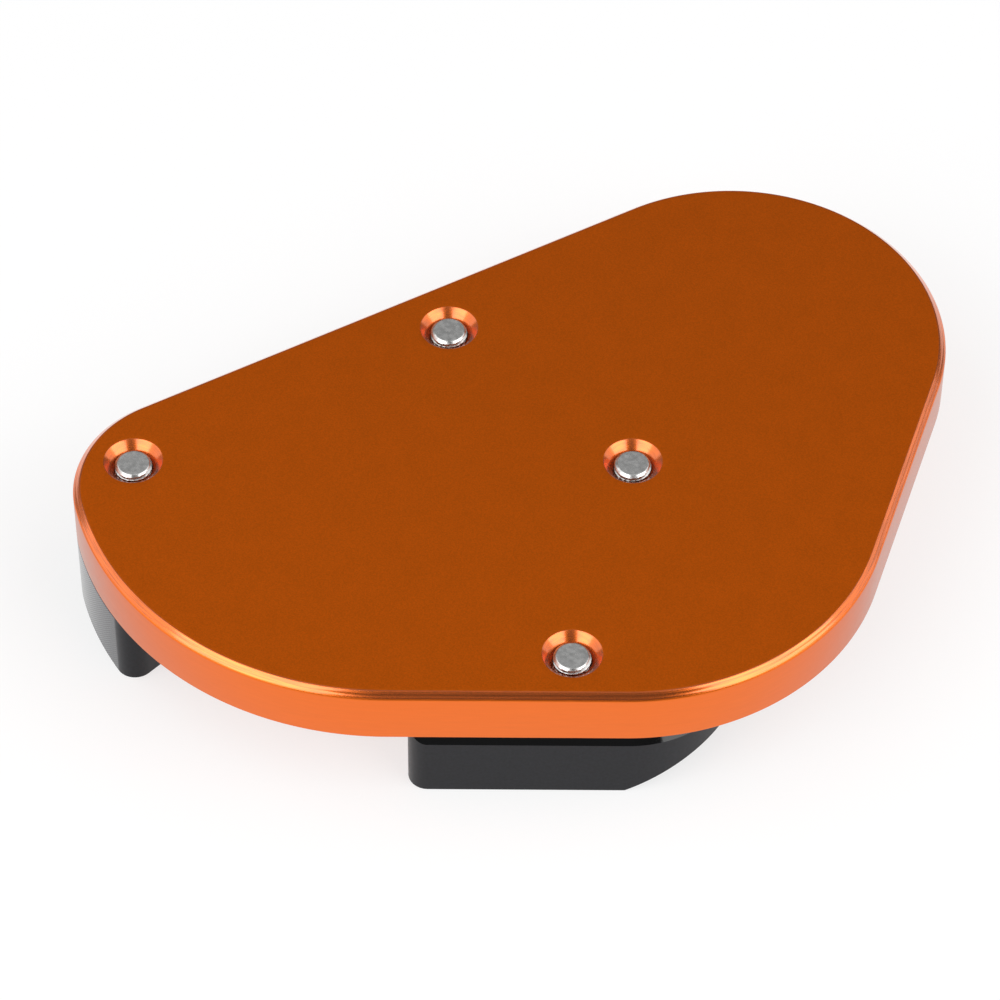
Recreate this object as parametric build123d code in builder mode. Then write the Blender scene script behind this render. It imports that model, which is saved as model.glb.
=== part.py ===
from build123d import *
from math import asin, atan2, cos, degrees, dist, radians, sin, tan
import os

# Side-stand foot enlarger, lying with its ground face up, in millimetres.
# The origin is under the middle of the plate, on the surface that the collar lies on.
# +Y runs along the collar's slot towards its closed end, and +Z is up.

# Plate
plate_thickness = 8.5
plate_edge_bevel = 0.9

# Arcs of the plate's outline: three corners, and a broad front arc that runs on from the left corner
left_corner = (-30.5, -39.9)
left_radius = 16.2
right_corner = (11.3, -0.6)
right_radius = 35.4
top_corner = (2.9, 31.3)
top_radius = 28.7
front_radius = 43.3
front_start = 239.0

# Collar
collar_thickness = 11.2
collar_edge_bevel = 1.65
collar_setback = 0.05
trim_stock = 5.0
front_wall_length = 50.0
shoulder_along = 8.1
back_corner = (13.8, 9.3)
collar_corner_radius = 15.5
ear_radius = 8.1
flank_heading = 26.8
flank_bevel_start = 20.6
flank_bevel_angle = 32.5

# Slot for the stand's leg, and the recess over it that traps the stand's foot
slot_width = 36.1
slot_middle = -4.95
slot_round_end = -19.6
slot_mouth_radius = 2.6
recess_lip = 3.0
recess_depth = 5.0
recess_start = -38.1
recess_corner_radius = 3.0

# Screws, with the clearances of their holes
screw_places = [(-39.1, -43.0), (-26.2, 4.2), (8.6, 4.2), (25.9, -25.6)]
screw_diameter = 5.0
screw_length = 14.0
screw_end_chamfer = 0.5
head_diameter = 8.5
head_height = 5.0
head_edge_chamfer = 0.4
socket_across_flats = 4.0
socket_depth = 2.5
tapped_clearance = 0.05
shank_clearance = 0.25
head_clearance = 0.35
head_sunk = 0.25
countersink_diameter = 7.95



def heading(angle):
    """The unit vector in the plan at an angle in degrees from +X."""
    return Vector(cos(radians(angle)), sin(radians(angle)))


def edge_heading(corner, radius, next_corner, next_radius):
    """The way that the straight edge between two corner arcs faces, in degrees from +X."""
    along = atan2(next_corner[1] - corner[1], next_corner[0] - corner[0])
    lean = asin((radius - next_radius) / dist(corner, next_corner))
    return degrees(along + lean) - 90


# Sizes that follow from those above
total_height = collar_thickness + plate_thickness
slot_radius = slot_width / 2
seat_height = head_sunk + head_height
ear_corner = screw_places[1]
reach = 2 * (top_radius + right_radius)
front_step = heading(front_start) * (front_radius - left_radius)
front_corner = (left_corner[0] - front_step.X, left_corner[1] - front_step.Y)
front_edge = edge_heading(front_corner, front_radius, right_corner, right_radius)
right_edge = edge_heading(right_corner, right_radius, top_corner, top_radius)
left_edge = edge_heading(top_corner, top_radius, left_corner, left_radius)

# The collar's front wall is straight along the plate's front edge, from the blank's end to the shoulder
front_wall = Vector(front_corner) + heading(front_edge) * (front_radius - collar_setback)
wall_line = heading(front_edge + 90)
wall_inset = heading(front_edge) * collar_corner_radius
wall_foot = front_wall - wall_line * front_wall.dot(wall_line)
shoulder_corner = wall_foot - wall_inset + wall_line * shoulder_along
blank_corner = shoulder_corner - wall_line * front_wall_length

flank_plane = Plane(
    origin=(0, 0, 0),
    x_dir=heading(flank_heading),
    z_dir=heading(flank_heading - 90),
)

os.makedirs("parts", exist_ok=True)


# Outline of the plate, to which the collar is trimmed as well
with BuildSketch() as plate_outline:
    with BuildLine() as plate_edge:
        left_arc = CenterArc(left_corner, left_radius, left_edge, (front_start - left_edge) % 360)
        front_arc = CenterArc(front_corner, front_radius, front_start, (front_edge - front_start) % 360)
        right_arc = CenterArc(right_corner, right_radius, front_edge, (right_edge - front_edge) % 360)
        top_arc = CenterArc(top_corner, top_radius, right_edge, (left_edge - right_edge) % 360)
        Line(front_arc @ 1, right_arc @ 0)
        Line(right_arc @ 1, top_arc @ 0)
        Line(top_arc @ 1, left_arc @ 0)
    make_face()


# Base plate: a flat plate with a bevelled ground face and countersunk tapped holes
with BuildPart() as base_plate:
    with BuildSketch(Plane.XY.offset(collar_thickness)) as plate_face:
        add(plate_outline.sketch)
    extrude(amount=plate_thickness)
    chamfer(base_plate.faces().sort_by(Axis.Z)[-1].edges(), plate_edge_bevel)
    with Locations(*[(x, y, total_height) for x, y in screw_places]):
        CounterSinkHole(
            radius=screw_diameter / 2 + tapped_clearance,
            counter_sink_radius=countersink_diameter / 2,
            counter_sink_angle=90,
        )

base_plate.part.label = "base_plate"
export_step(base_plate.part, "parts/base_plate.step")


# Collar: a bevelled blank, trimmed flush with the plate on its left side and slotted for the leg
with BuildPart() as collar:
    with BuildSketch() as blank_outline:
        with Locations(left_corner):
            Circle(left_radius + trim_stock)
        with Locations(blank_corner, shoulder_corner, back_corner):
            Circle(collar_corner_radius)
        with Locations(ear_corner):
            Circle(ear_radius)
        make_hull()
    extrude(amount=collar_thickness)
    chamfer(collar.faces().sort_by(Axis.Z)[-1].edges(), collar_edge_bevel)

    with BuildSketch() as trimmed_outline:
        add(plate_outline.sketch)
        with Locations((slot_middle, slot_round_end)):
            Circle(slot_radius, mode=Mode.SUBTRACT)
            Rectangle(slot_width, reach, align=(Align.CENTER, Align.MAX), mode=Mode.SUBTRACT)
        # Shrinking and growing again rounds the two sharp tips at the slot's mouth
        offset(amount=-slot_mouth_radius, kind=Kind.INTERSECTION, mode=Mode.REPLACE)
        offset(amount=slot_mouth_radius, kind=Kind.ARC, mode=Mode.REPLACE)
    extrude(amount=collar_thickness, mode=Mode.INTERSECT)

    # Sloping flank on the side of the plate's free lobe
    with BuildSketch(flank_plane) as flank_wedge:
        with BuildLine() as wedge_line:
            Polyline(
                (flank_bevel_start, 0),
                (flank_bevel_start + reach, 0),
                (flank_bevel_start + reach, reach * tan(radians(flank_bevel_angle))),
                close=True,
            )
        make_face()
    extrude(amount=reach, both=True, mode=Mode.SUBTRACT)

    # Recess above the slot's lip
    with BuildSketch(Plane.XY.offset(collar_thickness)) as recess_outline:
        with Locations((slot_middle, slot_round_end)):
            Circle(slot_radius + recess_lip)
            Rectangle(
                slot_width + 2 * recess_lip,
                slot_round_end - recess_start,
                align=(Align.CENTER, Align.MAX),
            )
        fillet(recess_outline.vertices().group_by(Axis.Y)[0], recess_corner_radius)
    extrude(amount=-recess_depth, mode=Mode.SUBTRACT)

    # Counterbored screw holes, with the heads on the lower face
    with BuildSketch() as head_holes:
        with Locations(*screw_places):
            Circle(head_diameter / 2 + head_clearance)
    extrude(amount=seat_height, mode=Mode.SUBTRACT)
    with BuildSketch() as shank_holes:
        with Locations(*screw_places):
            Circle(screw_diameter / 2 + shank_clearance)
    extrude(amount=collar_thickness, mode=Mode.SUBTRACT)

collar.part.label = "collar"
export_step(collar.part, "parts/collar.step")


# Clamp screws: socket-head screws, heads down in the collar, ends just under the ground face
with BuildPart() as clamp_screws:
    with BuildSketch(Plane.XY.offset(head_sunk)) as heads:
        with Locations(*screw_places):
            Circle(head_diameter / 2)
    extrude(amount=head_height)
    chamfer(clamp_screws.faces().group_by(Axis.Z)[0].edges(), head_edge_chamfer)
    with BuildSketch(Plane.XY.offset(seat_height)) as shanks:
        with Locations(*screw_places):
            Circle(screw_diameter / 2)
    extrude(amount=screw_length)
    chamfer(clamp_screws.faces().group_by(Axis.Z)[-1].edges(), screw_end_chamfer)
    with BuildSketch(Plane.XY.offset(head_sunk)) as sockets:
        with Locations(*screw_places):
            RegularPolygon(socket_across_flats / 2, 6, major_radius=False)
    extrude(amount=socket_depth, mode=Mode.SUBTRACT)

clamp_screws.part.label = "clamp_screws"
export_step(clamp_screws.part, "parts/clamp_screws.step")
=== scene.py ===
from math import cos, pi, radians, sin

import bmesh
import bpy
import numpy as np
from bpy.props import FloatProperty, FloatVectorProperty, PointerProperty
from mathutils import Matrix, Vector
from mathutils.geometry import tessellate_polygon


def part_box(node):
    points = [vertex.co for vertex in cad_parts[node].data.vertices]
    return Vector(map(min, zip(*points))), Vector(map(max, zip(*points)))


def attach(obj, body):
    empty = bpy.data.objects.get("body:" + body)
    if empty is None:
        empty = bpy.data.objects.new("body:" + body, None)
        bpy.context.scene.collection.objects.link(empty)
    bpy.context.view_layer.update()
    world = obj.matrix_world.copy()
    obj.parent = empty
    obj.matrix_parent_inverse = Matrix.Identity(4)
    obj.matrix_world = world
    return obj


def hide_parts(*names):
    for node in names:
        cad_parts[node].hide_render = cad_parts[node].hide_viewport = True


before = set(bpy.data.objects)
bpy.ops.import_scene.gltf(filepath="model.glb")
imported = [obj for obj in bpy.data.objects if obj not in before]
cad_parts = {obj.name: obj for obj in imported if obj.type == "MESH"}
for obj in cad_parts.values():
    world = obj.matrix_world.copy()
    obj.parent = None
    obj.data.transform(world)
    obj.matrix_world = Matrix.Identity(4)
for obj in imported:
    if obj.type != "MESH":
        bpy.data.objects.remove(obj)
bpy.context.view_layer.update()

bl_info = {
    "name": "Side-stand foot enlarger",
    "version": (1, 0, 0),
    "blender": (4, 5, 0),
    "location": "View3D > Sidebar > Enlarger",
    "description": "Orange base plate, black collar and steel screws of a side-stand foot enlarger",
    "category": "Object",
}

MM = 0.001

# Points that lie closer than this are one
WELD = 0.0001 * MM

PLATE_LOW, PLATE_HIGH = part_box("base_plate")
COLLAR_LOW, COLLAR_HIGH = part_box("collar")
SCREW_LOW, SCREW_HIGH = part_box("clamp_screws")

# Arcs of the plate's outline in millimetres, counterclockwise from above: x and y of the centre, and radius.
# The broad front arc runs on from the left corner at the heading where it starts.
LEFT = (-30.5, -39.9, 16.2)
RIGHT = (11.3, -0.6, 35.4)
TOP = (2.9, 31.3, 28.7)
FRONT_RADIUS = 43.3
FRONT_START = radians(239.0)
FRONT_STEP = FRONT_RADIUS - LEFT[2]
FRONT = (LEFT[0] - FRONT_STEP * cos(FRONT_START), LEFT[1] - FRONT_STEP * sin(FRONT_START), FRONT_RADIUS)
OUTLINE = MM * np.array([LEFT, FRONT, RIGHT, TOP])

# Back corner of the collar, and how far along its front wall the shoulder's arc starts
BACK = MM * np.array((13.8, 9.3))
SHOULDER_ALONG = 8.1 * MM

# Axes of the four screws: x and y
SCREW_AXES = MM * np.array([(-39.1, -43.0), (-26.2, 4.2), (8.6, 4.2), (25.9, -25.6)])


class PlateSettings(bpy.types.PropertyGroup):
    """Sizes and finish of the base plate"""
    bevel: FloatProperty(
        name="Bevel", description="Width of the 45 degree bevel round the ground face",
        default=0.9 * MM, unit="LENGTH", precision=5)
    edge_round: FloatProperty(
        name="Edge rounding", description="How far each edge is broken, measured along both faces",
        default=0.13 * MM, unit="LENGTH", precision=5)
    bevel_round: FloatProperty(
        name="Bevel rounding", description="How far the bevel's outer edge is rounded, along both faces",
        default=0.23 * MM, unit="LENGTH", precision=5)
    bevel_mark: FloatProperty(
        name="Bevel tool marks", description="Depth of the cutter's lines along the bevel",
        default=0.005 * MM, unit="LENGTH", precision=6)
    countersink: FloatProperty(
        name="Countersink", description="Diameter of each countersink on the ground face",
        default=7.95 * MM, unit="LENGTH", precision=5)
    bore: FloatProperty(
        name="Tapped hole", description="Diameter of each tapped hole",
        default=5.1 * MM, unit="LENGTH", precision=5)
    colour: FloatVectorProperty(
        name="Anodising", description="Colour of the orange anodised metal",
        default=(0.80, 0.147, 0.006), subtype="COLOR", min=0, max=1)


class CollarSettings(bpy.types.PropertyGroup):
    """Sizes and finish of the collar"""
    corner: FloatProperty(
        name="Corner", description="Radius of the shoulder and of the back corner",
        default=15.5 * MM, unit="LENGTH", precision=5)
    ear: FloatProperty(
        name="Ear", description="Radius of the corner round the far left screw",
        default=8.1 * MM, unit="LENGTH", precision=5)
    setback: FloatProperty(
        name="Setback", description="How far the front wall lies behind the plate's front edge",
        default=0.05 * MM, unit="LENGTH", precision=5)
    bevel: FloatProperty(
        name="Bevel", description="Width of the bevel under the plate, from the front arm round to the ear",
        default=1.65 * MM, unit="LENGTH", precision=5)
    edge_round: FloatProperty(
        name="Edge rounding", description="How far each other edge is broken",
        default=0.12 * MM, unit="LENGTH", precision=5)
    flank_heading: FloatProperty(
        name="Flank heading", description="Heading in the plan towards which the flank rises",
        default=radians(26.8), unit="ROTATION")
    flank_start: FloatProperty(
        name="Flank start", description="Distance from the origin to the flank's lower edge",
        default=20.6 * MM, unit="LENGTH", precision=5)
    flank_angle: FloatProperty(
        name="Flank angle", description="Slope of the flank",
        default=radians(32.5), unit="ROTATION")
    slot_middle: FloatProperty(
        name="Slot middle", description="Place of the slot's middle line along X",
        default=-4.95 * MM, unit="LENGTH", precision=5)
    slot_width: FloatProperty(
        name="Slot width", description="Width of the slot for the stand's leg",
        default=36.1 * MM, unit="LENGTH", precision=5)
    slot_end: FloatProperty(
        name="Slot end", description="Place along Y where the slot's round end starts",
        default=-19.6 * MM, unit="LENGTH", precision=5)
    mouth: FloatProperty(
        name="Slot mouth", description="Radius of the two tips at the slot's mouth",
        default=2.6 * MM, unit="LENGTH", precision=5)
    recess_lip: FloatProperty(
        name="Recess lip", description="Width of the lip that holds the stand's foot",
        default=3.0 * MM, unit="LENGTH", precision=5)
    recess_depth: FloatProperty(
        name="Recess depth", description="Depth of the recess above the lip",
        default=5.0 * MM, unit="LENGTH", precision=5)
    recess_start: FloatProperty(
        name="Recess start", description="Place along Y where the recess starts",
        default=-38.1 * MM, unit="LENGTH", precision=5)
    head_hole: FloatProperty(
        name="Counterbore", description="Diameter of the counterbores for the screws' heads",
        default=9.2 * MM, unit="LENGTH", precision=5)
    head_depth: FloatProperty(
        name="Counterbore depth", description="Depth of the counterbores",
        default=5.25 * MM, unit="LENGTH", precision=5)
    shank_hole: FloatProperty(
        name="Shank hole", description="Diameter of the holes for the screws' shanks",
        default=5.5 * MM, unit="LENGTH", precision=5)
    ridge_pitch: FloatProperty(
        name="Ridge pitch", description="Distance along the left wall from one cutter ridge to the next",
        default=0.426 * MM, unit="LENGTH", precision=6)
    ridge_depth: FloatProperty(
        name="Ridge depth", description="Depth of the grooves between the ridges",
        default=0.028 * MM, unit="LENGTH", precision=6)
    colour: FloatVectorProperty(
        name="Anodising", description="Colour of the black anodised metal",
        default=(0.0055, 0.0055, 0.008), subtype="COLOR", min=0, max=1)


class ScrewSettings(bpy.types.PropertyGroup):
    """Sizes and finish of the screws"""
    diameter: FloatProperty(
        name="Diameter", description="Diameter over the thread's crests",
        default=5.0 * MM, unit="LENGTH", precision=5)
    end_diameter: FloatProperty(
        name="End face", description="Diameter of the flat end face inside its chamfer",
        default=4.25 * MM, unit="LENGTH", precision=5)
    pitch: FloatProperty(
        name="Pitch", description="Distance from one turn of the thread to the next",
        default=0.8 * MM, unit="LENGTH", precision=5)
    thread_depth: FloatProperty(
        name="Thread depth", description="Depth of the thread's groove",
        default=0.46 * MM, unit="LENGTH", precision=5)
    head_diameter: FloatProperty(
        name="Head", description="Diameter of the socket head",
        default=8.5 * MM, unit="LENGTH", precision=5)
    head_height: FloatProperty(
        name="Head height", description="Height of the socket head",
        default=5.0 * MM, unit="LENGTH", precision=5)
    socket: FloatProperty(
        name="Socket", description="Distance across the flats of the hexagon socket",
        default=4.0 * MM, unit="LENGTH", precision=5)
    socket_depth: FloatProperty(
        name="Socket depth", description="Depth of the hexagon socket",
        default=2.5 * MM, unit="LENGTH", precision=5)
    colour: FloatVectorProperty(
        name="Plating", description="Colour of the plated steel",
        default=(0.68, 0.68, 0.67), subtype="COLOR", min=0, max=1)


class StageSettings(bpy.types.PropertyGroup):
    """Camera, floor and light"""
    target: FloatVectorProperty(
        name="Target", description="Point that the camera looks at",
        default=(0.805 * MM, -13.365 * MM, 19.7 * MM), subtype="TRANSLATION", precision=5)
    distance: FloatProperty(
        name="Distance", description="Distance from the camera to its target",
        default=613.3 * MM, unit="LENGTH", precision=4)
    azimuth: FloatProperty(
        name="Azimuth", description="Turn of the camera round the object, from the front",
        default=radians(43.92), unit="ROTATION")
    elevation: FloatProperty(
        name="Elevation", description="Height of the camera above the horizon",
        default=radians(49.0), unit="ROTATION")
    roll: FloatProperty(
        name="Roll", description="Turn of the camera about its line of sight",
        default=radians(0.6), unit="ROTATION")
    lens: FloatProperty(
        name="Lens", description="Focal length in millimetres on a 36 mm sensor",
        default=165.6)
    floor_colour: FloatVectorProperty(
        name="Floor", description="Colour of the floor",
        default=(0.95, 0.95, 0.95), subtype="COLOR", min=0, max=1)
    floor_white: FloatProperty(
        name="White sweep",
        description="Share of plain white in the floor, which leaves the rest to the shadow",
        default=0.7, min=0, max=1)
    horizon: FloatProperty(
        name="Horizon", description="Brightness of the studio at the horizon",
        default=0.32, min=0, max=1)
    back_wall: FloatProperty(
        name="Back wall", description="Brightness of the studio at half height",
        default=0.24, min=0, max=1)
    ceiling: FloatProperty(
        name="Ceiling", description="Brightness of the studio overhead",
        default=0.60, min=0, max=1)
    camera_side: FloatProperty(
        name="Camera side", description="Share of the studio's brightness behind the camera",
        default=0.68, min=0, max=1)
    key: FloatProperty(
        name="Softboxes", description="Radiance of the softboxes",
        default=1.2)


def unit(heading):
    """Unit vectors in the plan at headings from +X."""
    return np.stack([np.cos(heading), np.sin(heading)], axis=-1)


def edge_heading(circle, after):
    """Heading that the straight edge from one corner circle to the next one faces: the heading of the line
    between their centres, less a right angle, plus the arcsine of the difference of their radii over that
    line's length."""
    line = after[..., :2] - circle[..., :2]
    lean = (circle[..., 2] - after[..., 2]) / np.hypot(line[..., 0], line[..., 1])
    return np.arctan2(line[..., 1], line[..., 0]) - pi / 2 + np.arcsin(np.clip(lean, -1, 1))


def hull_rays(circles, steps):
    """Centre, radius and outward direction at each point round a closed chain of arcs. Each arc is followed
    from the edge before it to the edge after it in equal steps of heading."""
    leave = edge_heading(circles, np.roll(circles, -1, axis=0))
    meet = np.roll(leave, 1)
    span = np.mod(leave - meet, 2 * pi)
    angle = (meet[:, None] + span[:, None] * np.linspace(0, 1, steps)).ravel()
    held = np.repeat(circles, steps, axis=0)
    return held[:, :2], held[:, 2], unit(angle)


def arc_chain(arcs):
    """Segments round a closed chain of arcs, each given by its centre, radius, first and last heading: the
    arc itself, then the straight edge to the next arc's start. A row holds a segment's centre or start, its
    radius or 0, its first heading, its length, and the arc's number, with a half added for an edge. A hollow
    arc has a negative radius."""
    segments = []
    for number, (centre, radius, first, last) in enumerate(arcs):
        after, after_radius, after_first, _ = arcs[(number + 1) % len(arcs)]
        leave = np.asarray(centre) + radius * unit(last)
        meet = np.asarray(after) + after_radius * unit(after_first)
        segments.append((*centre, radius, first, (last - first) * radius, number))
        segments.append((*leave, 0.0, last, np.linalg.norm(meet - leave), number + 0.5))
    return np.array(segments)


def chain_at(chain, length):
    """Points, outward directions and arc numbers at lengths round a chain. On an arc the heading grows by the
    length over the radius, and the point is the centre plus the radius times the outward direction; on an
    edge the point moves straight on, a right angle left of the outward direction."""
    starts = np.concatenate([[0], np.cumsum(chain[:, 4])])
    segment = np.clip(np.searchsorted(starts, length, "right") - 1, 0, len(chain) - 1)
    x, y, radius, first, _, number = chain[segment].T
    gone = length - starts[segment]
    curved = radius != 0
    way = unit(first + np.divide(gone, radius, out=np.zeros_like(gone), where=curved))
    onward = np.stack([-way[:, 1], way[:, 0]], axis=1)
    moved = np.where(curved[:, None], radius[:, None] * way, gone[:, None] * onward)
    return np.stack([x, y], axis=1) + moved, way, number


def rounded(corners, setbacks, steps=5):
    """A section with its inner corners rounded: each is swept by the parabola that leaves one side at the
    setback, aims at the corner and meets the other side at the setback."""
    corners = np.asarray(corners, float)
    middle = corners[1:-1]
    before = corners[:-2] - middle
    after = corners[2:] - middle
    reach = np.asarray(setbacks, float)[:, None]
    first = middle + before / np.linalg.norm(before, axis=1, keepdims=True) * reach
    last = middle + after / np.linalg.norm(after, axis=1, keepdims=True) * reach
    s = np.linspace(0, 1, steps)[None, :, None]
    swept = (1 - s) ** 2 * first[:, None] + 2 * s * (1 - s) * middle[:, None] + s ** 2 * last[:, None]
    return np.concatenate([corners[:1], swept.reshape(-1, 2), corners[-1:]])


def run_length(section):
    """Length along a section from its start to each of its points."""
    return np.concatenate([[0], np.cumsum(np.linalg.norm(np.diff(section, axis=0), axis=1))])


def ring_quads(rows, around):
    """Quads of a grid of rows that closes round: each joins a point, the next one round, and the two a row
    on."""
    row, turn = np.meshgrid(np.arange(rows - 1), np.arange(around), indexing="ij")
    here = row * around + turn
    beside = row * around + (turn + 1) % around
    return np.stack([here, beside, beside + around, here + around], axis=-1).reshape(-1, 4)


def screw_holes(section, steps, first):
    """Walls of the screw holes: a section, as radius and height, turned round each screw's axis in equal
    steps. Gives the points, which are numbered from first, the quads, and the loops of the holes' upper and
    lower ends."""
    spin = unit(np.linspace(0, 2 * pi, steps, endpoint=False))
    flat = SCREW_AXES[:, None, None] + section[None, :, None, :1] * spin[None, None]
    height = np.broadcast_to(section[None, :, None, 1:], (*flat.shape[:3], 1))
    points = np.concatenate([flat, height], axis=3).reshape(-1, 3)
    numbers = first + np.arange(len(points)).reshape(flat.shape[:3])
    quads = (ring_quads(len(section), steps)[None] + numbers[:, :1, :1]).reshape(-1, 4)
    return points, quads, numbers[:, 0], numbers[:, -1]


def flat_fill(loops, points, up):
    """Triangles that fill a flat region between an outer loop and the loops of its holes, all facing one
    way."""
    order = np.concatenate(loops)
    triangles = order[np.array(tessellate_polygon([points[loop].tolist() for loop in loops]))]
    a, b, c = (points[triangles[:, k], :2] for k in range(3))
    turn = (b[:, 0] - a[:, 0]) * (c[:, 1] - a[:, 1]) - (b[:, 1] - a[:, 1]) * (c[:, 0] - a[:, 0])
    flip = (turn > 0) != up
    triangles[flip] = triangles[flip][:, ::-1]
    return triangles


def make_piece(name, points, quads, triangles, finishes, materials, sharp=30.0, across=None):
    """A mesh object from arrays: quads first, then triangles, with one number for each face's material. Edges
    past the sharp angle, in degrees, are not smoothed. The lengths across a section, where given, are kept as
    an attribute for the cutter's lines."""
    corners = np.concatenate([quads.ravel(), triangles.ravel()]).astype(np.int32)
    sizes = np.concatenate([np.full(len(quads), 4), np.full(len(triangles), 3)]).astype(np.int32)
    mesh = bpy.data.meshes.new(name)
    mesh.vertices.add(len(points))
    mesh.vertices.foreach_set("co", points.astype(np.float32).ravel())
    mesh.loops.add(len(corners))
    mesh.loops.foreach_set("vertex_index", corners)
    mesh.polygons.add(len(sizes))
    mesh.polygons.foreach_set("loop_start", np.concatenate([[0], np.cumsum(sizes)[:-1]]).astype(np.int32))
    mesh.polygons.foreach_set("loop_total", sizes)
    mesh.polygons.foreach_set("material_index", np.asarray(finishes, np.int32))
    mesh.polygons.foreach_set("use_smooth", np.ones(len(sizes), bool))
    if across is not None:
        attribute = mesh.attributes.new("across", "FLOAT", "POINT")
        attribute.data.foreach_set("value", across.astype(np.float32))
    mesh.update(calc_edges=True)
    weld = bmesh.new()
    weld.from_mesh(mesh)
    bmesh.ops.remove_doubles(weld, verts=weld.verts, dist=WELD)
    bmesh.ops.dissolve_degenerate(weld, edges=weld.edges, dist=WELD)
    weld.to_mesh(mesh)
    weld.free()
    mesh.set_sharp_from_angle(angle=radians(sharp))
    for material in materials:
        mesh.materials.append(material)
    piece = bpy.data.objects.new(name, mesh)
    bpy.context.scene.collection.objects.link(piece)
    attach(piece, "root")
    return piece


def new_material(name, sockets):
    """A node material whose Principled shader has the given values on its sockets."""
    material = bpy.data.materials.new(name)
    material.use_nodes = True
    tree = material.node_tree
    shader = tree.nodes["Principled BSDF"]
    for socket, value in sockets.items():
        shader.inputs[socket].default_value = value
    return material, tree, shader


def add_node(tree, kind, sockets=None, **settings):
    """A new node with its settings made, and each socket that is named linked to an output or set to a
    value."""
    node = tree.nodes.new(kind)
    for name, value in settings.items():
        setattr(node, name, value)
    for socket, value in (sockets or {}).items():
        if isinstance(value, bpy.types.NodeSocket):
            tree.links.new(value, node.inputs[socket])
        else:
            node.inputs[socket].default_value = value
    return node


def noise_at(tree, vector, scale, detail, stretch):
    """Noise at a vector, which a Mapping node stretches."""
    mapping = add_node(tree, "ShaderNodeMapping", {"Vector": vector, "Scale": stretch})
    texture = add_node(tree, "ShaderNodeTexNoise", {
        "Vector": mapping.outputs["Vector"], "Scale": scale, "Detail": detail})
    return texture.outputs["Fac"]


def noise(tree, scale, detail=3.0, stretch=(1, 1, 1)):
    """Noise over the object's own coordinates, with about as many waves a metre as its scale."""
    place = add_node(tree, "ShaderNodeTexCoord")
    return noise_at(tree, place.outputs["Object"], scale, detail, stretch)


def cutter_lines(tree, width, run):
    """Lines that a cutter leaves along a section's sweep: noise that changes over a width across the section,
    by the attribute that holds it, and over a longer run along the object."""
    across = add_node(tree, "ShaderNodeAttribute", attribute_name="across")
    place = add_node(tree, "ShaderNodeTexCoord")
    split = add_node(tree, "ShaderNodeSeparateXYZ", {"Vector": place.outputs["Object"]})
    joined = add_node(tree, "ShaderNodeCombineXYZ", {
        "X": across.outputs["Fac"], "Y": split.outputs["X"], "Z": split.outputs["Y"]})
    stretch = (1 / width, 1 / run, 1 / run)
    return noise_at(tree, joined.outputs["Vector"], scale=1.0, detail=2.0, stretch=stretch)


def spread(tree, value, low, high, start=0.3, end=0.7):
    """A value from low to high as the input goes from start to end."""
    ramp = add_node(tree, "ShaderNodeMapRange", {
        "Value": value, "From Min": start, "From Max": end, "To Min": low, "To Max": high})
    return ramp.outputs["Result"]


def dyed(tree, shader, value, colour, dark, light, start=0.3, end=0.7):
    """Feeds the shader a colour that goes from dark times to light times the given one as the value goes from
    start to end."""
    ramp = add_node(tree, "ShaderNodeValToRGB", {"Fac": value})
    for element, position, factor in zip(ramp.color_ramp.elements, (start, end), (dark, light)):
        element.position = position
        element.color = (*(min(1.0, channel * factor) for channel in colour), 1)
    tree.links.new(ramp.outputs["Color"], shader.inputs["Base Color"])


def roughened(tree, shader, value, low, high):
    """Feeds the shader a roughness that goes from low to high with the value."""
    tree.links.new(spread(tree, value, low, high), shader.inputs["Roughness"])


def bumped(tree, shader, height, depth, strength):
    """Feeds a height, in metres at its full range, to the shader's normal."""
    bump = add_node(tree, "ShaderNodeBump", {"Height": height, "Distance": depth, "Strength": strength})
    tree.links.new(bump.outputs["Normal"], shader.inputs["Normal"])


def satin_anodising(colour):
    """The ground face: blasted before anodising, so that its grain breaks up the reflection."""
    material, tree, shader = new_material("orange_satin_face", {"Metallic": 1.0})
    dyed(tree, shader, noise(tree, 5200), colour, dark=0.86, light=1.05)
    roughened(tree, shader, noise(tree, 260), low=0.38, high=0.42)
    bumped(tree, shader, noise(tree, 4200), depth=0.004 * MM, strength=0.5)
    return material


def milled_anodising(colour):
    """The side wall: milled along the outline, under a clear oxide film that whitens at a glancing look."""
    material, tree, shader = new_material("orange_milled_wall", {
        "Metallic": 1.0, "Specular Tint": (0.60, 0.78, 0.85, 1),
        "Coat Weight": 0.5, "Coat Roughness": 0.22, "Coat IOR": 1.5})
    lines = noise(tree, 1400, stretch=(0.15, 0.15, 2.0))
    dyed(tree, shader, lines, colour, dark=1.09, light=1.13)
    roughened(tree, shader, noise(tree, 700), low=0.30, high=0.34)
    bumped(tree, shader, noise(tree, 3000, detail=2), depth=0.002 * MM, strength=0.3)
    return material


def cut_anodising(colour):
    """The bevel: bright cut, so that the clear film over the dye mirrors the lamps."""
    material, tree, shader = new_material("orange_bright_cut", {
        "Metallic": 1.0, "Coat Weight": 1.0, "Coat Roughness": 0.12, "Coat IOR": 1.6})
    lines = cutter_lines(tree, width=0.16 * MM, run=5 * MM)
    dyed(tree, shader, lines, colour, dark=0.74, light=1.12, start=0.38, end=0.60)
    roughened(tree, shader, lines, low=0.26, high=0.19)
    bumped(tree, shader, noise(tree, 2600), depth=0.003 * MM, strength=0.2)
    return material


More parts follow.
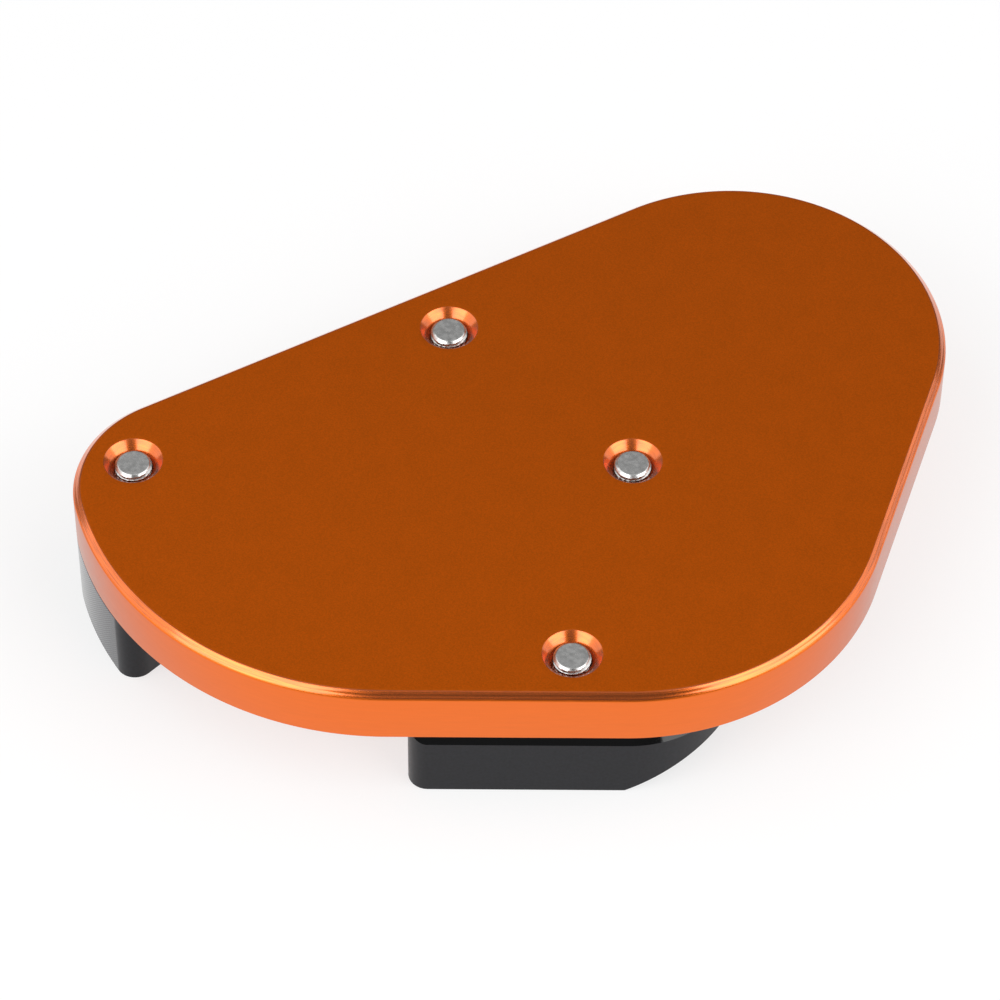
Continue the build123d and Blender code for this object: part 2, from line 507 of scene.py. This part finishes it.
def turned_anodising(colour):
    """The countersinks and the holes' walls: turned, so that they are a little rougher than the bevel."""
    material, tree, shader = new_material("orange_turned_cone", {
        "Metallic": 1.0, "Coat Weight": 1.0, "Coat Roughness": 0.14, "Coat IOR": 1.6})
    lines = cutter_lines(tree, width=0.3 * MM, run=2 * MM)
    dyed(tree, shader, lines, colour, dark=0.8, light=1.06)
    roughened(tree, shader, lines, low=0.30, high=0.24)
    bumped(tree, shader, noise(tree, 1800), depth=0.003 * MM, strength=0.3)
    return material


def black_anodising(colour):
    """The collar: fine milled black film with a soft sheen."""
    material, tree, shader = new_material("black_satin_film", {"IOR": 1.35})
    dyed(tree, shader, noise(tree, 2400, detail=4), colour, dark=0.6, light=1.4)
    roughened(tree, shader, noise(tree, 1800, detail=2), low=0.30, high=0.38)
    bumped(tree, shader, noise(tree, 3200), depth=0.006 * MM, strength=0.4)
    return material


def painted_shade_bevel(colour):
    """The collar's bevel: cut bright before anodising, so that it mirrors the dark under the plate. Its
    colour is darkened to between 0.05 and 0.15 of the collar's as painted shade under the plate.
    """
    material, tree, shader = new_material("collar_bevel_painted_shade", {"IOR": 1.5})
    grain = noise(tree, 2400)
    # Painted shade: the colour is darkened to between 0.05 and 0.15 of the collar's for the shade under the
    # plate's overhang
    dyed(tree, shader, grain, colour, dark=0.05, light=0.15)
    roughened(tree, shader, grain, low=0.06, high=0.10)
    return material


def black_ridges(colour):
    """The left wall: ridged by the cutter that trimmed it, with a grey sheen at a glancing look. The sheen is
    partly the film's reflection and partly painted sheen, as the colour is lifted to between 1.2 and 2.5
    times the collar's.
    """
    material, tree, shader = new_material("black_ridged_wall_painted_sheen", {"IOR": 1.6})
    grain = noise(tree, 2000)
    # Painted sheen: the colour is lifted to between 1.2 and 2.5 times the collar's, so that the wall looks
    # lighter
    dyed(tree, shader, grain, colour, dark=1.2, light=2.5)
    roughened(tree, shader, grain, low=0.09, high=0.15)
    return material


def plated_steel(colour):
    """The screws: zinc plating with faint handling marks."""
    material, tree, shader = new_material("plated_steel", {"Metallic": 1.0})
    cloud = noise(tree, 1300, detail=4)
    dyed(tree, shader, cloud, colour, dark=0.78, light=1.16)
    roughened(tree, shader, cloud, low=0.20, high=0.34)
    bumped(tree, shader, noise(tree, 1500, detail=2), depth=0.006 * MM, strength=0.3)
    return material


class ENLARGER_OT_plate(bpy.types.Operator):
    """Build the orange base plate with its bevel and countersunk holes"""
    bl_idname = "enlarger.plate"
    bl_label = "Base plate"

    def execute(self, context):
        plate = context.scene.enlarger_plate
        low, high = PLATE_LOW.z, PLATE_HIGH.z
        bevel, edge = plate.bevel, plate.edge_round
        rim, bore = plate.countersink / 2, plate.bore / 2

        # The section of the edge as inset and height. The cutter's lines are a sine along the bevel's middle,
        # square to it, and a flat margin runs round each of the two faces
        mark_start, mark_end, mark_waves, mark_steps = 0.22, 0.78, 2.5, 15
        edge_margin = 0.7 * MM
        shelf = bevel + edge_margin
        s = np.linspace(mark_start, mark_end, mark_steps)
        wave = plate.bevel_mark * np.sin(2 * pi * mark_waves * s) * cos(pi / 4)
        marks = np.stack([bevel * s + wave, high - bevel + bevel * s - wave], axis=1)
        lower = rounded([
            (shelf, low), (0, low), (0, high - bevel),
            (bevel * mark_start, high - bevel * (1 - mark_start))], [edge, plate.bevel_round], steps=8)
        upper = rounded([
            (bevel * mark_end, high - bevel * (1 - mark_end)), (bevel, high), (shelf, high)], [edge], steps=8)
        section = np.concatenate([lower[:-1], marks, upper[1:]])
        centre, radius, out = hull_rays(OUTLINE, steps=64)
        flat = centre[None] + (radius[None, :, None] - section[:, 0][:, None, None]) * out[None]
        height = np.broadcast_to(section[:, 1][:, None, None], (*flat.shape[:2], 1))
        shell = np.concatenate([flat, height], axis=2)
        rows, around = shell.shape[:2]

        # The section of a hole as radius and height, with a flat margin at both ends
        hole_steps, hole_margin = 96, 0.8 * MM
        rim_round, throat_round = edge * 0.5, edge * 0.4
        ledge = rim + hole_margin
        cone = rounded(
            [(ledge, high), (rim, high), (bore, high - rim + bore), (bore, low), (ledge, low)],
            [rim_round, throat_round, edge])
        hole_points, hole_quads, upper_loops, lower_loops = screw_holes(cone, hole_steps, rows * around)
        points = np.concatenate([shell.reshape(-1, 3), hole_points])
        outline = np.arange(around)
        top = flat_fill([(rows - 1) * around + outline, *upper_loops], points, up=True)
        bottom = flat_fill([outline, *lower_loops], points, up=False)

        # Which finish each row of quads has: the wall runs a little way up the bevel's rounded edge, and a
        # hole's margin and the first step of its rim belong to the face
        face, wall, cut, turned = range(4)
        cut_start = high - bevel * 0.86
        row = np.arange(rows - 1)
        shell_finish = np.where(row < np.searchsorted(section[:, 1], cut_start), wall, cut)
        shell_finish[-1] = face
        hole_finish = np.where(np.arange(len(cone) - 1) < 2, face, turned)
        holes = len(SCREW_AXES)
        finishes = np.concatenate([
            np.repeat(shell_finish, around), np.tile(np.repeat(hole_finish, hole_steps), holes),
            np.full(len(top), face), np.full(len(bottom), wall)])
        across = np.concatenate([
            np.repeat(run_length(section), around), np.tile(np.repeat(run_length(cone), hole_steps), holes)])
        colour = tuple(plate.colour)
        materials = [
            satin_anodising(colour), milled_anodising(colour),
            cut_anodising(colour), turned_anodising(colour)]
        piece = make_piece(
            "plate_body", points, np.concatenate([ring_quads(rows, around), hole_quads]),
            np.concatenate([top, bottom]), finishes, materials, across=across)
        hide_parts("base_plate")
        return {"FINISHED"}


def collar_plan(collar):
    """The collar's plan as a chain of arcs, counterclockwise: shoulder, back corner, ear, left corner, front
    arc, left tip, slot's round end and right tip. The front wall lies along the plate's front edge, and its
    outward direction and its distance from the origin are given as well."""
    left, front, right = OUTLINE[:3]
    faces = edge_heading(front, right)
    out, along = unit(faces), unit(faces + pi / 2)
    reach = front[:2] @ out + front[2] - collar.setback
    shoulder = np.append(out * (reach - collar.corner) + along * SHOULDER_ALONG, collar.corner)
    back, ear = np.append(BACK, collar.corner), np.append(SCREW_AXES[1], collar.ear)
    slot, mouth = collar.slot_width / 2, collar.mouth
    left_tip = np.array([collar.slot_middle - slot - mouth, 0.0, mouth])
    left_tip[1] = front[1] - np.sqrt((front[2] - mouth) ** 2 - (left_tip[0] - front[0]) ** 2)
    right_tip = np.array([collar.slot_middle + slot + mouth, 0.0])
    right_tip[1] = (reach - mouth - out[0] * right_tip[0]) / out[1]
    turns = [
        faces, edge_heading(shoulder, back), edge_heading(back, ear), edge_heading(ear, left), FRONT_START,
        np.arctan2(left_tip[1] - front[1], left_tip[0] - front[0]), 0.0]
    turns = turns[0] + np.concatenate([[0], np.cumsum(np.mod(np.diff(turns), 2 * pi))])
    corners = [shoulder, back, ear, left, front, left_tip]
    arcs = [(corner[:2], corner[2], first, last) for corner, first, last in zip(corners, turns, turns[1:])]
    arcs.append(((collar.slot_middle, collar.slot_end), -slot, 2 * pi, pi))
    arcs.append((right_tip, mouth, pi, pi + np.mod(faces - pi, 2 * pi)))
    return arc_chain(arcs), out, reach


def underside(collar, places):
    """Height of the collar's lower side: level, and rising with the flank's slope past its lower edge."""
    past = places @ unit(collar.flank_heading) - collar.flank_start
    return COLLAR_LOW.z + np.maximum(past, 0) * np.tan(collar.flank_angle)


class ENLARGER_OT_collar(bpy.types.Operator):
    """Build the black collar with its slot, recess, flank and ridged left wall"""
    bl_idname = "enlarger.collar"
    bl_label = "Collar"

    def execute(self, context):
        collar = context.scene.enlarger_collar
        low, high = COLLAR_LOW.z, COLLAR_HIGH.z
        edge, bevel = collar.edge_round, collar.bevel
        # Finishes: the black film, the glossy bevel darkened as painted shade, and the ridged wall lifted as
        # painted sheen
        film, bright, ridges = range(3)

        # The plan, three of its arcs by their numbers, and where the arcs and edges start. The ridged wall
        # runs from the ear's end to the left tip
        chain, out, reach = collar_plan(collar)
        ear, left_tip, right_tip = 2, 5, 7
        joints = np.concatenate([[0], np.cumsum(chain[:, 4])])
        begin, tip_start, tip_end = joints[2 * ear + 1], joints[2 * left_tip], joints[2 * left_tip + 1]

        # Lengths round the plan: fine and even from the ridged wall over the left tip onto the slot's wall,
        # where a rise through the wall's height is a whole number of steps, and coarse elsewhere
        climb, slices = 180, 30
        rise = high - low - 2 * edge
        fine = rise / climb
        columns = int(np.ceil((tip_end - begin) / fine))
        ridged = begin + fine * np.arange(columns + climb + 1)
        tip_step, plain_step = 0.12 * MM, 0.5 * MM
        steps = np.where(chain[:, 5] == right_tip, tip_step, plain_step)
        coarse = np.concatenate([
            np.linspace(first, last, int((last - first) / step) + 1, endpoint=False)
            for first, last, step in zip(joints[:-1], joints[1:], steps) if last - first > WELD])
        coarse = coarse[(coarse < ridged[0] - fine / 2) | (coarse > ridged[-1] + fine / 2)]
        length = np.sort(np.concatenate([coarse, ridged]))
        plan, way, number = chain_at(chain, length)
        count = len(plan)
        foot = np.searchsorted(length, begin - fine / 4)

        # The flank: the loop's points next to its lower edge move onto it, so that the fold is straight
        slope = unit(collar.flank_heading)
        past = (plan - edge * way) @ slope - collar.flank_start
        tangent = np.stack([-way[:, 1], way[:, 0]], axis=1)
        change = np.flatnonzero((past > 0) != (np.roll(past, -1) > 0))
        after = (change + 1) % count
        ends = np.where(np.abs(past[change]) < np.abs(past[after]), change, after)
        plan[ends] -= tangent[ends] * (past[ends] / (tangent[ends] @ slope))[:, None]

        # The bevel: full from the front arm to the ear, cut off by the round tip, and fading behind the ear
        fade_length, least_facing, least_width = 8 * MM, 0.3, 0.5 * MM
        depth = reach - plan @ out
        tip, behind = number == right_tip, number == ear + 0.5
        run = np.full(count, edge)
        run[(number <= ear) | (number == right_tip + 0.5)] = bevel
        gone = np.linalg.norm(plan[behind] - plan[np.flatnonzero(number == ear)[-1]], axis=1)
        run[behind] = np.maximum(bevel * (1 - gone / fade_length), edge)
        drop = run.copy()
        drop[tip] = np.maximum(bevel - depth[tip], edge)
        run[tip] = np.maximum(drop[tip] / np.maximum(way[tip] @ out, least_facing), edge)
        bevelled = np.maximum(run, np.roll(run, -1)) > least_width

        # The recess: the lip's width grows along a quarter circle from the recess's start
        inward = (number > left_tip) & (number < right_tip)
        into = np.clip((plan[:, 1] - collar.recess_start) / collar.recess_lip, 0, 1)
        lip = np.where(inward, collar.recess_lip * np.sqrt(1 - (1 - into) ** 2), 0)
        cut = lip > edge
        shelf = np.where(cut, high - collar.recess_depth, high)

        # Rows from the lower side over the wall to the upper side
        inner = plan - way * np.where(cut, edge, run)[:, None]
        step = np.where(cut, lip, run)[:, None] * way
        rows = np.stack([
            np.column_stack([plan - edge * way, underside(collar, plan - edge * way)]),
            np.column_stack([plan, underside(collar, plan) + edge]),
            np.column_stack([plan, shelf - np.where(cut, edge, drop)]),
            np.column_stack([inner, shelf]),
            np.column_stack([plan - step, shelf]),
            np.column_stack([plan - step, np.full(count, high)]),
        ])
        grid = ring_quads(2, count)
        wall = grid + count
        edges = np.concatenate([grid + count * row for row in (0, 2, 3, 4)])
        edge_finish = np.full((4, count), film)
        # The bevel's quads under the plate take the glossy finish, whose darkened colour is painted shade
        edge_finish[1, bevelled] = bright

        # The ridged stretch of the wall, as a grid that leans at 45 degrees with the cutter's path: the
        # groove's depth is a power of a cosine of the column's number, and fades at both ends of the wall
        power, fade_start, fade_in, fade_out = 1.5, 3 * MM, 12 * MM, 1 * MM
        column, level = np.arange(columns + 1), np.arange(slices + 1)
        reached = begin + fine * column[None] + rise * level[:, None] / slices
        place, facing, _ = chain_at(chain, reached.ravel())
        groove = (0.5 - 0.5 * np.cos(2 * pi * column * fine / collar.ridge_pitch)) ** power
        fade = np.clip((reached - begin - fade_start) / fade_in, 0, 1)
        fade *= np.clip((tip_start - reached) / fade_out, 0, 1)
        dent = collar.ridge_depth * groove[None] * fade
        flat = (place - dent.ravel()[:, None] * facing).reshape(*reached.shape, 2)
        height = np.broadcast_to((low + edge + rise * level / slices)[:, None, None], (*reached.shape, 1))
        leaning = np.concatenate([flat, height], axis=2)
        rows[1, foot + column] = leaning[0]
        rows[2, foot + climb + column] = leaning[-1]
        grooves = leaning[1:-1].reshape(-1, 3)
        inside = len(rows) * count + np.arange(len(grooves)).reshape(slices - 1, columns + 1)
        ladder = np.concatenate([[count + foot + column], inside, [2 * count + foot + climb + column]])
        tiles = np.stack(
            [ladder[:-1, :-1], ladder[:-1, 1:], ladder[1:, 1:], ladder[1:, :-1]], axis=-1).reshape(-1, 4)
        middle = reached[:-1, :-1] + fine / 2 + rise / slices / 2
        tile_finish = np.where(middle < tip_start, ridges, film).ravel()
        plain = np.setdiff1d(np.arange(count), foot + np.arange(columns + climb))

        # The two triangles of wall beside the leaning grid, as fans from its sides to the wall's upper and
        # lower edges
        hop = climb // slices
        pick = np.arange(climb)
        over = 2 * count + foot + pick
        below = count + foot + columns + pick
        near, far = ladder[:, 0], ladder[:, -1]
        near_fan = np.concatenate([
            np.stack([near[pick // hop], over + 1, over], axis=1),
            np.stack([near[:-1], near[1:], over[hop - 1::hop] + 1], axis=1)[:-1]])
        far_fan = np.concatenate([
            np.stack([below, below + 1, far[pick // hop + 1]], axis=1),
            np.stack([below[::hop], far[1:], far[:-1]], axis=1)[1:]])

        # Holes: shank hole, seat and counterbore, from the upper side down
        bore, shank, seat = collar.head_hole / 2, collar.shank_hole / 2, low + collar.head_depth
        section = np.array([
            (shank + edge, high), (shank, high - edge), (shank, seat),
            (bore, seat), (bore, low + edge), (bore + edge, low)])
        hole_points, hole_quads, upper_loops, lower_loops = screw_holes(
            section, steps=72, first=len(rows) * count + len(grooves))
        points = np.concatenate([rows.reshape(-1, 3), grooves, hole_points])

        # Upper side, lower side and flank
        top = flat_fill([(len(rows) - 1) * count + np.arange(count), *upper_loops], points, up=True)
        loop = np.roll(np.arange(count), -ends.min())
        switch = np.flatnonzero(loop == ends.max())[0]
        sides = [loop[:switch + 1], np.append(loop[switch:], loop[0])]
        sides.sort(key=lambda side: rows[0, side, 2].max())
        bottom = flat_fill([sides[0], *lower_loops], points, up=False)
        flank = flat_fill([sides[1]], points, up=False)

        quads = np.concatenate([edges, wall[plain], hole_quads, tiles])
        triangles = np.concatenate([near_fan, far_fan, top, bottom, flank])
        finishes = np.concatenate([
            edge_finish.ravel(), np.full(len(plain) + len(hole_quads), film), tile_finish,
            np.full(len(near_fan), ridges), np.full(len(triangles) - len(near_fan), film)])
        colour = tuple(collar.colour)
        piece = make_piece(
            "collar_body", points, quads, triangles, finishes,
            [black_anodising(colour), painted_shade_bevel(colour), black_ridges(colour)])
        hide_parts("collar")
        return {"FINISHED"}


class ENLARGER_OT_screws(bpy.types.Operator):
    """Build the four screws with their threaded ends and socket heads"""
    bl_idname = "enlarger.screws"
    bl_label = "Screws"

    def execute(self, context):
        screw = context.scene.enlarger_screws
        low, high = SCREW_LOW.z, SCREW_HIGH.z
        seat = low + screw.head_height
        steps = 192
        angle = np.linspace(0, 2 * pi, steps, endpoint=False)
        hexagon = (screw.socket / 2) / np.cos(np.mod(angle + pi / 6, pi / 3) - pi / 6)
        circle = np.ones(steps)

        # Head, as rows of radius and height: from the middle of the socket's floor, with its drilled point,
        # out over the face's rounded edge and the knurled side to the seat and its fillet. The two rounded
        # edges are given by insets and lifts
        head, crest, end = screw.head_diameter / 2, screw.diameter / 2, screw.end_diameter / 2
        knurl_depth, knurl_count, knurl_start, knurl_end = 0.04 * MM, 48, 0.6 * MM, 0.3 * MM
        drilled, mouth, fillet = 0.5 * MM, 0.15 * MM, 0.1 * MM
        face_edge = MM * np.array([(0.45, 0.0), (0.15, 0.1), (0.04, 0.4)])
        seat_edge = MM * np.array([(0.1, 0.05), (0.2, 0.0)])
        knurl = head - knurl_depth + knurl_depth * np.cos(knurl_count * angle)
        floor = low + screw.socket_depth
        head_rows = [
            (0 * circle, floor + drilled), (0.6 * hexagon, floor + 0.2 * drilled), (hexagon, floor),
            (hexagon, low + mouth), (hexagon + mouth, low), (0.5 * (hexagon + head), low),
            *((head * circle - inset, low + lift) for inset, lift in face_edge),
            (knurl, low + knurl_start), (knurl, seat - knurl_end),
            *((head * circle - inset, seat - lift) for inset, lift in seat_edge),
            (crest * circle + fillet, seat), (crest * circle, seat + fillet),
        ]

        # Thread: the crest's radius less a rounded groove whose place climbs by one pitch a turn, held in by
        # the cone of the end's chamfer. Only the stretch next to the end has it, and the shank below is plain
        thread_start, thread_end, thread_rows = high - 3.3 * MM, high - 0.02 * MM, 90
        plain_start, plain_end, plain_rows = seat + 3.0 * MM, high - 3.4 * MM, 6
        crest_share, flank_share, flank_power = 0.30, 0.66, 0.9
        thread_fade, chamfer_height, end_round = 0.6 * MM, 0.4 * MM, 0.06 * MM
        up = np.concatenate([
            np.linspace(plain_start, plain_end, plain_rows),
            np.linspace(thread_start, thread_end, thread_rows)])
        phase = np.mod(up[:, None] / screw.pitch - angle[None] / (2 * pi), 1)
        groove = 0.5 - 0.5 * np.cos(2 * pi * phase)
        cut = np.clip((groove - crest_share) / flank_share, 0, 1) ** flank_power
        fade = np.clip((up - thread_start) / thread_fade, 0, 1)[:, None]
        chamfer = end + (high - up)[:, None] * (crest - end) / chamfer_height
        thread = np.minimum(crest - screw.thread_depth * cut * fade, chamfer)
        rim_share = end_round / end
        end_radius = np.array([1 - rim_share, 0.97 - rim_share, 0.8, 0.5, 0.2, 0.0]) * end

        radius = np.concatenate([
            np.stack([row[0] for row in head_rows]), thread, np.repeat(end_radius[:, None], steps, axis=1)])
        height = np.concatenate([[row[1] for row in head_rows], up, np.full(len(end_radius), high)])

        # The four screws, each stopped at its own share of a turn
        stops = np.array([0.0, 0.05, 0.1, 0.95]) * 2 * pi
        heading = angle[None] + stops[:, None]
        x = SCREW_AXES[:, 0, None, None] + radius[None] * np.cos(heading)[:, None]
        y = SCREW_AXES[:, 1, None, None] + radius[None] * np.sin(heading)[:, None]
        z = np.broadcast_to(height[None, :, None], x.shape)
        points = np.stack([x, y, z], axis=3)
        rows = len(height)
        starts = rows * steps * np.arange(len(SCREW_AXES))
        quads = (ring_quads(rows, steps)[None] + starts[:, None, None]).reshape(-1, 4)
        piece = make_piece(
            "screw_set", points.reshape(-1, 3), quads, np.zeros((0, 3), int), np.zeros(len(quads), int),
            [plated_steel(tuple(screw.colour))], sharp=40.0)
        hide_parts("clamp_screws")
        return {"FINISHED"}


def way_to(azimuth, elevation):
    """Direction from the object to a place round it, at an azimuth from the front and an elevation."""
    return Vector((sin(azimuth) * cos(elevation), -cos(azimuth) * cos(elevation), sin(elevation)))


def looking_back(way, place):
    """Matrix of a camera or a lamp at a place, looking back along the way that leads there."""
    return Matrix.Translation(place) @ (-way).to_track_quat("-Z", "Y").to_matrix().to_4x4()


class ENLARGER_OT_stage(bpy.types.Operator):
    """Set the floor, the studio light and the camera"""
    bl_idname = "enlarger.stage"
    bl_label = "Stage"

    def execute(self, context):
        stage = context.scene.enlarger_stage
        scene = context.scene
        scene.view_settings.view_transform = "Standard"

        # Floor: a pale disc under the object
        floor_radius, floor_sides = 4.0, 96
        angle = np.linspace(0, 2 * pi, floor_sides, endpoint=False)
        points = np.column_stack([floor_radius * unit(angle), np.zeros(floor_sides)])
        mesh = bpy.data.meshes.new("floor")
        mesh.from_pydata(points.tolist(), [], [list(range(floor_sides))])
        floor = bpy.data.objects.new("floor", mesh)
        scene.collection.objects.link(floor)
        material, tree, shader = new_material("pale_floor", {
            "Base Color": (*stage.floor_colour, 1), "Roughness": 1.0, "Specular IOR Level": 0.0})
        path = add_node(tree, "ShaderNodeLightPath")
        seen = path.outputs["Is Camera Ray"]
        for ray in ("Is Glossy Ray", "Is Transmission Ray"):
            either = add_node(tree, "ShaderNodeMath", {0: seen, 1: path.outputs[ray]}, operation="MAXIMUM")
            seen = either.outputs["Value"]
        glow = add_node(tree, "ShaderNodeEmission", {"Color": (1, 1, 1, 1), "Strength": 1.0})
        white = add_node(tree, "ShaderNodeMixShader", {
            "Fac": spread(tree, seen, low=0.0, high=stage.floor_white, start=0.0, end=1.0),
            1: shader.outputs["BSDF"], 2: glow.outputs["Emission"]})
        tree.links.new(white.outputs["Shader"], tree.nodes["Material Output"].inputs["Surface"])
        mesh.materials.append(material)

        # Camera: at its azimuth and elevation round the target, rolled about its line of sight
        back = way_to(stage.azimuth, stage.elevation)
        data = bpy.data.cameras.new("camera")
        data.lens = stage.lens
        data.sensor_width = 36.0
        data.clip_start, data.clip_end = 0.01, 50.0
        camera = bpy.data.objects.new("camera", data)
        stand = Vector(stage.target) + back * stage.distance
        camera.matrix_world = looking_back(back, stand) @ Matrix.Rotation(stage.roll, 4, "Z")
        scene.collection.objects.link(camera)
        scene.camera = camera

        # Softboxes left and right of the camera, each with a brighter middle: turn from the camera's azimuth
        # and elevation in degrees, distance, width and height in metres, and share of the radiance
        boxes = [
            ("softbox_left", -72, 38, 1.2, 2.1, 1.6, 0.8), ("softbox_right", 81, 38, 1.2, 1.9, 1.6, 0.8),
            ("lamp_left", -46, 37, 1.15, 0.9, 0.55, 1.8), ("lamp_right", 61, 37, 1.15, 1.0, 0.55, 1.8)]
        for name, aside, elevation, away, width, height, share in boxes:
            way = way_to(stage.azimuth + radians(aside), radians(elevation))
            light = bpy.data.lights.new(name, "AREA")
            light.shape = "RECTANGLE"
            light.size, light.size_y = width, height
            light.energy = stage.key * share * pi * width * height
            lamp = bpy.data.objects.new(name, light)
            lamp.matrix_world = looking_back(way, way * away)
            scene.collection.objects.link(lamp)

        # World: a grey at the horizon, at half height and overhead, times a factor that falls towards the
        # camera's side and one that falls from its left to its right, each between two cosines
        world = bpy.data.worlds.new("studio")
        scene.world = world
        world.use_nodes = True
        tree = world.node_tree
        sky = add_node(tree, "ShaderNodeTexCoord").outputs["Generated"]
        split = add_node(tree, "ShaderNodeSeparateXYZ", {"Vector": sky})
        ramp = add_node(tree, "ShaderNodeValToRGB", {"Fac": split.outputs["Z"]})
        greys = [(0.05, stage.horizon), (0.55, stage.back_wall), (1.0, stage.ceiling)]
        ramp.color_ramp.elements.new(0.5)
        for element, (position, grey) in zip(ramp.color_ramp.elements, greys):
            element.position = position
            element.color = (grey, grey, grey, 1)
        level = ramp.outputs["Color"]
        right = Vector((cos(stage.azimuth), sin(stage.azimuth), 0))
        for way, low, high, start, end in [
                (back, 1.0, stage.camera_side, 0.6, 0.92), (right, 1.2, 0.75, -0.4, 0.4)]:
            facing = add_node(tree, "ShaderNodeVectorMath", {0: sky, 1: way}, operation="DOT_PRODUCT")
            factor = spread(tree, facing.outputs["Value"], low, high, start, end)
            dimmed = add_node(tree, "ShaderNodeVectorMath", {0: level, "Scale": factor}, operation="SCALE")
            level = dimmed.outputs["Vector"]
        tree.links.new(level, tree.nodes["Background"].inputs["Color"])
        return {"FINISHED"}


class ENLARGER_PT_panel(bpy.types.Panel):
    """The pieces of the enlarger, each with its sizes"""
    bl_idname = "ENLARGER_PT_panel"
    bl_label = "Foot enlarger"
    bl_space_type = "VIEW_3D"
    bl_region_type = "UI"
    bl_category = "Enlarger"

    def draw(self, context):
        scene = context.scene
        groups = [
            (ENLARGER_OT_plate, scene.enlarger_plate), (ENLARGER_OT_collar, scene.enlarger_collar),
            (ENLARGER_OT_screws, scene.enlarger_screws), (ENLARGER_OT_stage, scene.enlarger_stage),
        ]
        for operator, settings in groups:
            box = self.layout.box()
            box.operator(operator.bl_idname)
            for name in settings.__annotations__:
                box.prop(settings, name)


CLASSES = (
    PlateSettings, CollarSettings, ScrewSettings, StageSettings,
    ENLARGER_OT_plate, ENLARGER_OT_collar, ENLARGER_OT_screws, ENLARGER_OT_stage,
    ENLARGER_PT_panel,
)


def register():
    """Registers the classes and gives the scene its settings."""
    for cls in CLASSES:
        bpy.utils.register_class(cls)
    bpy.types.Scene.enlarger_plate = PointerProperty(type=PlateSettings)
    bpy.types.Scene.enlarger_collar = PointerProperty(type=CollarSettings)
    bpy.types.Scene.enlarger_screws = PointerProperty(type=ScrewSettings)
    bpy.types.Scene.enlarger_stage = PointerProperty(type=StageSettings)


def unregister():
    """Takes the settings from the scene and the classes out again."""
    del bpy.types.Scene.enlarger_stage
    del bpy.types.Scene.enlarger_screws
    del bpy.types.Scene.enlarger_collar
    del bpy.types.Scene.enlarger_plate
    for cls in reversed(CLASSES):
        bpy.utils.unregister_class(cls)


def main():
    """Registers the classes and builds the pieces and the stage."""
    register()
    bpy.ops.enlarger.plate()
    bpy.ops.enlarger.collar()
    bpy.ops.enlarger.screws()
    bpy.ops.enlarger.stage()


if __name__ == "__main__":
    main()
